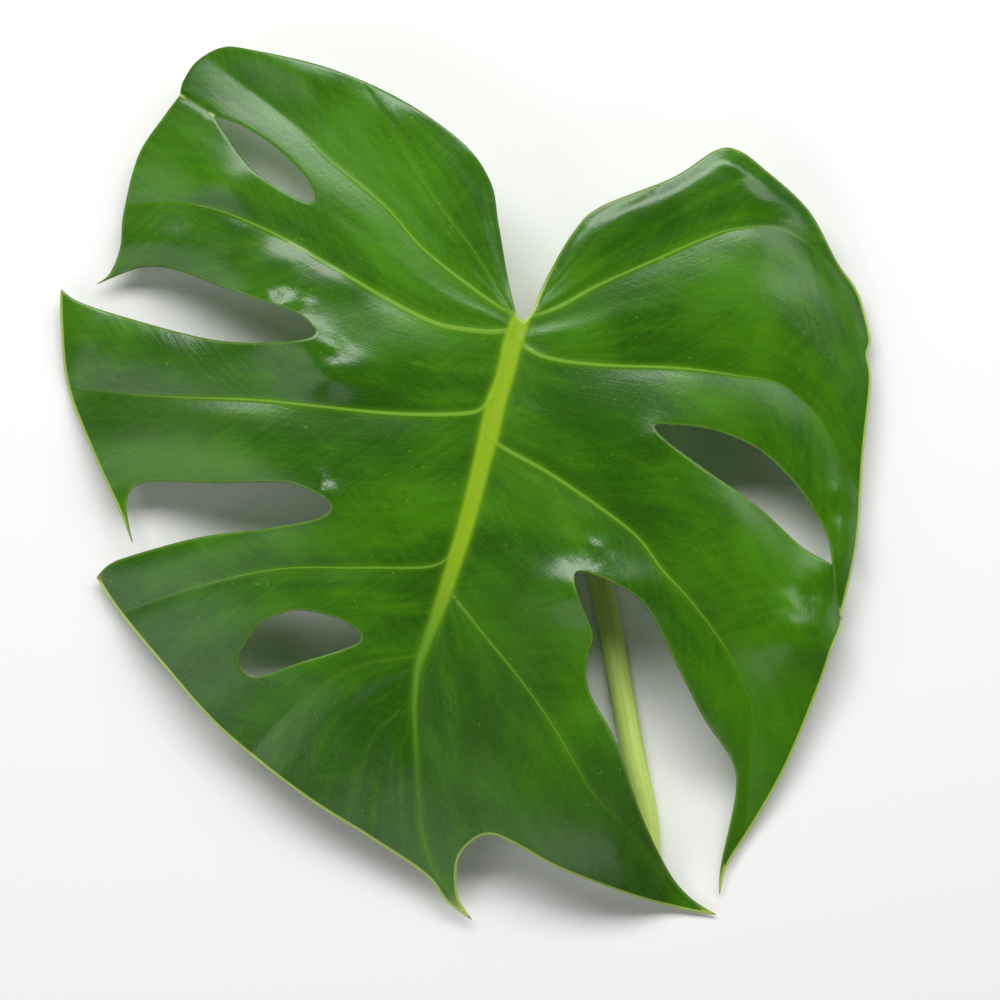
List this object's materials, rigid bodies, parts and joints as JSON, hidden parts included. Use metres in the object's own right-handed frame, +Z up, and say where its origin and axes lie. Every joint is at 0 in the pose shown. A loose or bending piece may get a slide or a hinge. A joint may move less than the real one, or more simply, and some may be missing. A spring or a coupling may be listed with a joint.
{
  "type": "monstera leaf",
  "caption": "Lobed split leaf with a pale midrib and side veins, on its cut leaf stalk, lying face up with its tips drooping to the surface.",
  "frame": {"origin": "middle of the leaf's base: the middle of its outline seen from above, on the surface that it lies on", "axes": "+Z up out of the blade's face, -Y towards the leaf's tip, +X towards the side with the two open right splits"},
  "size_m": [0.2612, 0.2808, 0.0354],
  "materials": {
    "blade_green": "satin, waxy, with a soft sheen",
    "stalk_green": "satin"
  },
  "bodies": {
    "root": {"leaf_blade": "blade_green", "leaf_stalk": "stalk_green"}
  },
  "joints": []
}
